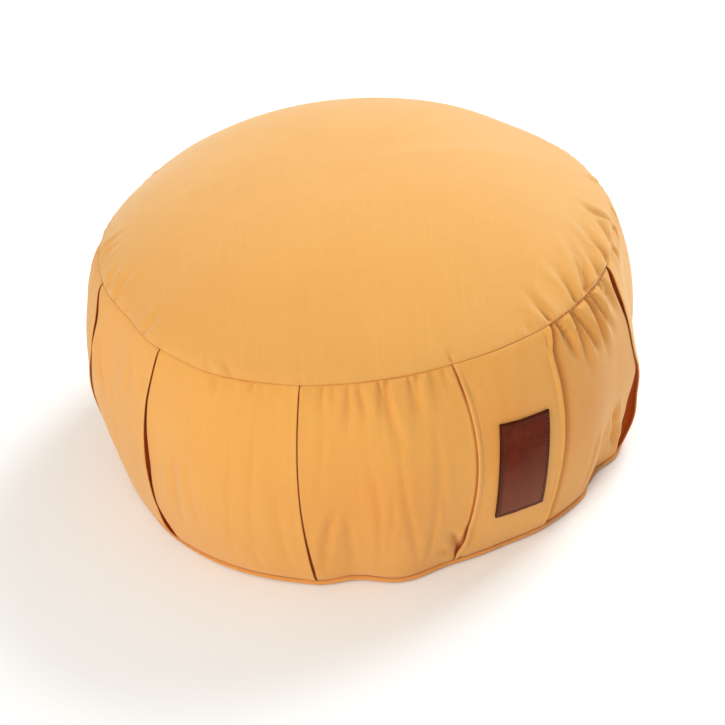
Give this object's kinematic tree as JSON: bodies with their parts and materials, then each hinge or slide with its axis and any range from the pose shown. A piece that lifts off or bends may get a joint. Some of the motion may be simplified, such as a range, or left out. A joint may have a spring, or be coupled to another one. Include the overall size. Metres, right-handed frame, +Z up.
{
  "type": "zafu meditation cushion",
  "caption": "Round filled floor cushion with a crowned top, a pleated side band, a plain front panel and a small leather label.",
  "frame": {"origin": "middle of the cushion's box on the floor, at the flat underside", "axes": "+Z up through the crown, -Y towards the front of the cushion, where the front panel is seen a little to the +X side"},
  "size_m": [0.3638, 0.3646, 0.202],
  "materials": {
    "cotton_band": "plain woven cotton, matt",
    "cotton_panel": "plain woven cotton, matt",
    "leather": "smooth dark brown leather, semi-gloss"
  },
  "bodies": {
    "root": {"side_band": "cotton_band", "top_panel": "cotton_panel", "bottom_panel": "cotton_panel", "front_panel": "cotton_band", "leather_label": "leather"}
  },
  "joints": []
}
